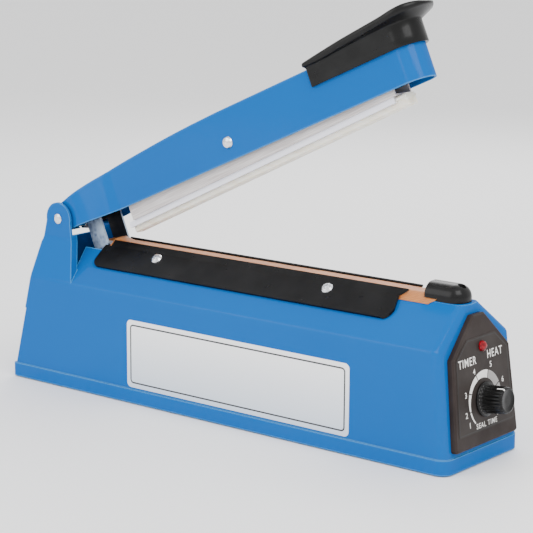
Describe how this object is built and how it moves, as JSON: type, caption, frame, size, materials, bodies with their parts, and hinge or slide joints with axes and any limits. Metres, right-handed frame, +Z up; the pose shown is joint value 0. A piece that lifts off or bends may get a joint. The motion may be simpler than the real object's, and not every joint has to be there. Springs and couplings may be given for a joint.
{
  "type": "impulse heat sealer",
  "caption": "Bench impulse heat sealer: wedge-sided housing with timer dial, sprung lever arm, rocking pressure bar and a long narrow sealing strip.",
  "frame": {"origin": "on the table, under the middle of the whole machine's box with the arm open", "axes": "+X along the machine towards the control panel, +Y across towards the back, +Z up; the hinge is at -X"},
  "size_m": [0.45, 0.0958, 0.3231],
  "materials": {
    "blue_paint": "smooth gloss enamel over pressed steel",
    "black_moulding": "satin moulded plastic",
    "black_gloss": "polished moulded plastic",
    "panel_plastic": "fine satin brown-black plastic",
    "panel_film": "printed film with a dial scale",
    "lamp_red": "clear red lens",
    "grey_bar": "grey coated steel",
    "bright_aluminium": "satin anodised extrusion",
    "silicone": "soft translucent off-white silicone",
    "ptfe_tan": "resin-coated glass cloth",
    "black_enamel": "satin black enamel",
    "zinc_steel": "bright zinc plating",
    "galvanised": "galvanised sheet",
    "spring_steel": "drawn spring wire",
    "nichrome": "flat resistance ribbon",
    "brass": "turned brass",
    "foot_rubber": "matt black rubber",
    "label_silver": "blank silver label with a dark border",
    "core_steel": "varnished laminations",
    "coil_tape": "yellow winding tape",
    "board_green": "solder mask",
    "relay_blue": "moulded relay case",
    "nylon": "white nylon"
  },
  "bodies": {
    "base": {"housing": "blue_paint", "base_plate": "galvanised", "rubber_feet": "foot_rubber", "base_screws": "zinc_steel", "cord_grommet": "foot_rubber", "control_panel": "panel_plastic", "dial_label": "panel_film", "indicator_lamp": "lamp_red", "lamp_holder": "black_moulding", "panel_clips": "nylon", "potentiometer": "zinc_steel", "potentiometer_nut": "zinc_steel", "heater_bar": "bright_aluminium", "insulation_strip": "ptfe_tan", "heating_wire": "nichrome", "terminal_posts": "brass", "ptfe_cloth": "ptfe_tan", "front_clamp_plate": "black_enamel", "rear_clamp_plate": "black_enamel", "clamp_screws": "zinc_steel", "end_cap": "black_gloss", "end_cap_screw": "zinc_steel", "hinge_pin": "zinc_steel", "retaining_ring": "spring_steel", "hinge_washers": "nylon", "transformer_core": "core_steel", "transformer_coil": "coil_tape", "transformer_strap": "galvanised", "transformer_screws": "zinc_steel", "timer_board": "board_green", "board_standoffs": "nylon", "timer_relay": "relay_blue", "board_capacitors": "black_moulding", "triac_heat_sink": "bright_aluminium", "micro_switch": "black_moulding", "switch_bracket": "galvanised", "switch_screws": "zinc_steel", "rating_label": "label_silver"},
    "arm": {"arm_shell": "blue_paint", "arm_handle": "black_moulding", "handle_screws": "zinc_steel", "arm_bracket": "galvanised", "striker_screw": "zinc_steel", "striker_nut": "zinc_steel", "return_spring": "spring_steel", "rocker_screw": "zinc_steel", "rocker_nut": "zinc_steel", "rocker_spacers": "nylon"},
    "press_bar": {"bar_carrier": "grey_bar", "bar_profile": "bright_aluminium", "silicone_strip": "silicone", "bar_rivets": "zinc_steel"},
    "timer_dial": {"timer_knob": "black_moulding", "timer_shaft": "bright_aluminium"},
    "switch_button": {"switch_plunger": "nylon"}
  },
  "joints": [
    {"name": "arm_hinge", "type": "hinge", "parent": "base", "child": "arm", "pos_m": [-0.185, 0, 0.1344], "axis": [0, 1, 0], "range_deg": [0, 19.65], "stiffness_Nm_per_rad": 4, "springref_deg": -42.97},
    {"name": "bar_rock", "type": "hinge", "parent": "arm", "child": "press_bar", "pos_m": [-0.01795, 0, 0.20967], "axis": [0, 1, 0], "range_deg": [0, 5.32]},
    {"name": "timer_turn", "type": "hinge", "parent": "base", "child": "timer_dial", "pos_m": [0.21312, 0, 0.04781], "axis": [0.994, 0, 0.1097], "range_deg": [-154, 116]},
    {"name": "switch_press", "type": "slide", "parent": "base", "child": "switch_button", "axis": [0, 0, 1], "range_m": [-0.0012, 0]}
  ],
  "couplings": [
    {"joint": "bar_rock", "follows": "arm_hinge", "ratio": 0.26997},
    {"joint": "switch_press", "follows": "arm_hinge", "m_per_rad": -0.003498}
  ]
}
